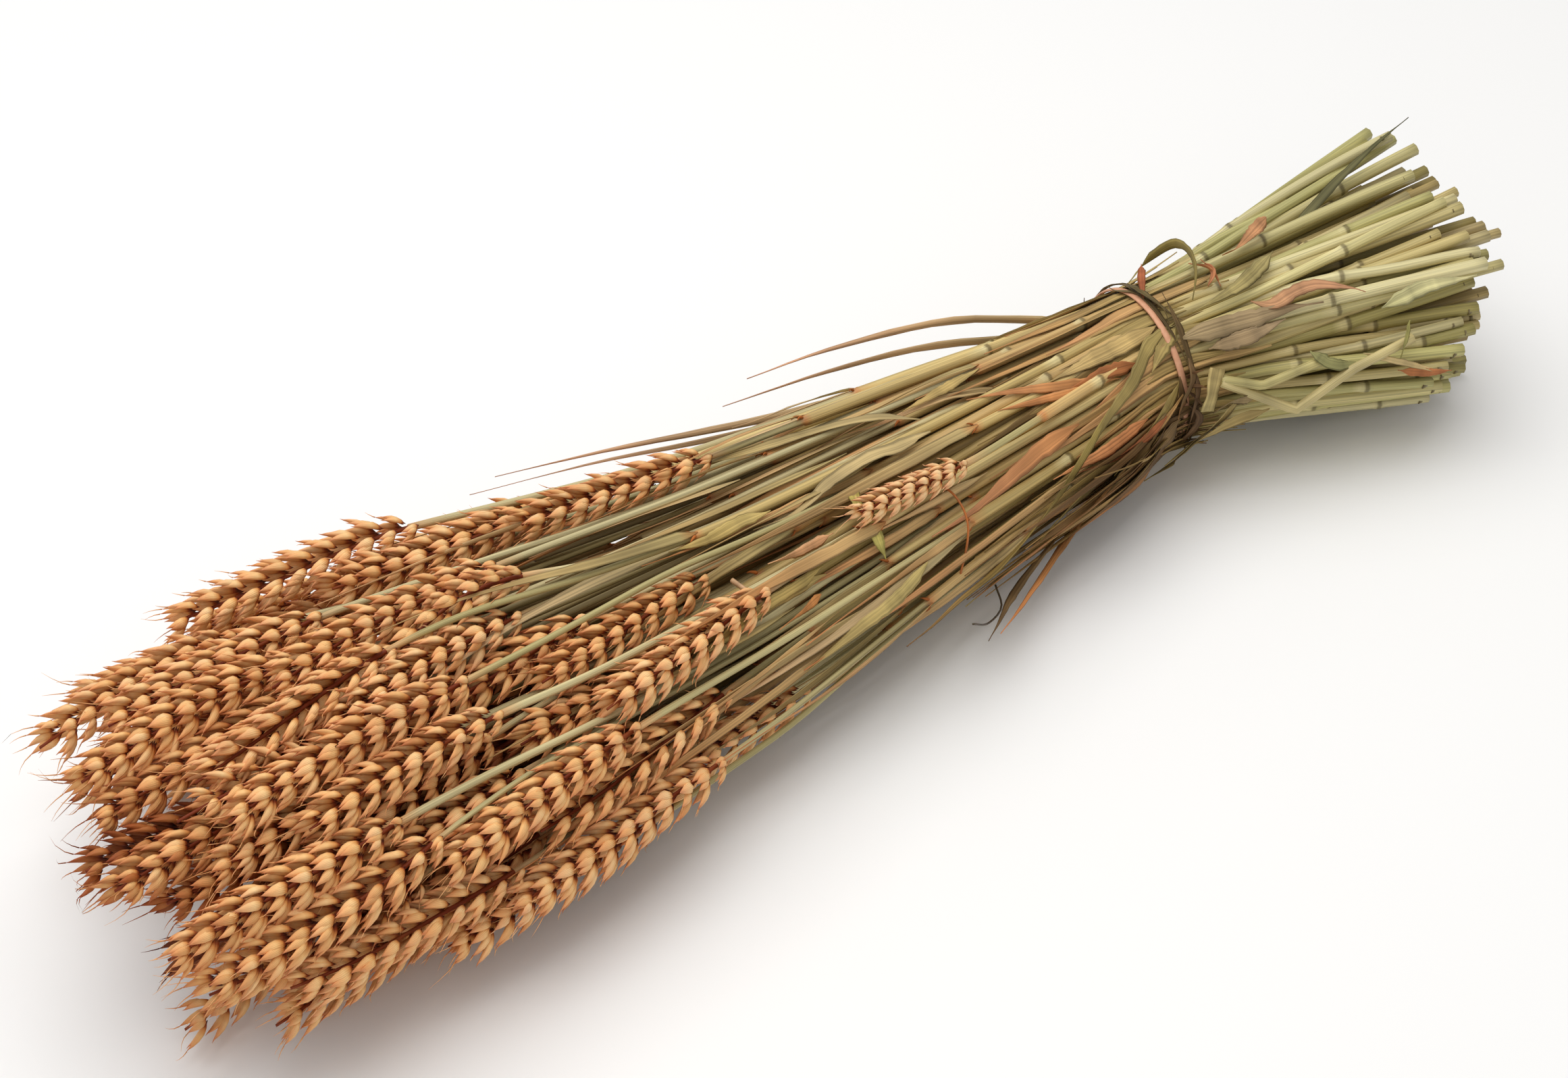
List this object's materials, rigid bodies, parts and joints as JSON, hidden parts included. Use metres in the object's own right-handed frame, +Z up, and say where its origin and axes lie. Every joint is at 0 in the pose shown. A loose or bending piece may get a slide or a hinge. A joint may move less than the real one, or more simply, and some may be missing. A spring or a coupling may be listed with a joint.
{
  "type": "tied wheat bunch",
  "caption": "Bunch of dried wheat tied at the neck with a thin band, lying down, with overlapping ears at one end and cut stems fanned out at the other.",
  "frame": {"origin": "the middle of the bounding box's bottom face, on the surface the bunch lies on", "axes": "+X along the bunch from the ears to the cut ends, +Z up"},
  "size_m": [0.6338, 0.1982, 0.0995],
  "materials": {
    "husk": "matte",
    "straw": "matte",
    "band": "matte"
  },
  "bodies": {
    "root": {"ear_01": "husk", "ear_02": "husk", "ear_03": "husk", "ear_04": "husk", "ear_05": "husk", "ear_06": "husk", "ear_07": "husk", "ear_08": "husk", "ear_09": "husk", "ear_10": "husk", "ear_11": "husk", "ear_12": "husk", "ear_13": "husk", "ear_14": "husk", "ear_15": "husk", "ear_16": "husk", "ear_17": "husk", "ear_18": "husk", "ear_19": "husk", "ear_20": "husk", "ear_21": "husk", "ear_22": "husk", "ear_23": "husk", "ear_24": "husk", "ear_25": "husk", "ear_26": "husk", "ear_27": "husk", "ear_28": "husk", "ear_29": "husk", "ear_30": "husk", "ear_31": "husk", "ear_32": "husk", "ear_33": "husk", "ear_34": "husk", "ear_35": "husk", "ear_36": "husk", "ear_37": "husk", "ear_38": "husk", "ear_39": "husk", "ear_40": "husk", "ear_41": "husk", "ear_42": "husk", "ear_43": "husk", "ear_44": "husk", "ear_45": "husk", "ear_46": "husk", "ear_47": "husk", "ear_48": "husk", "ear_49": "husk", "ear_50": "husk", "ear_51": "husk", "ear_52": "husk", "ear_53": "husk", "ear_54": "husk", "ear_55": "husk", "ear_56": "husk", "straw": "straw", "tie": "band"}
  },
  "joints": []
}
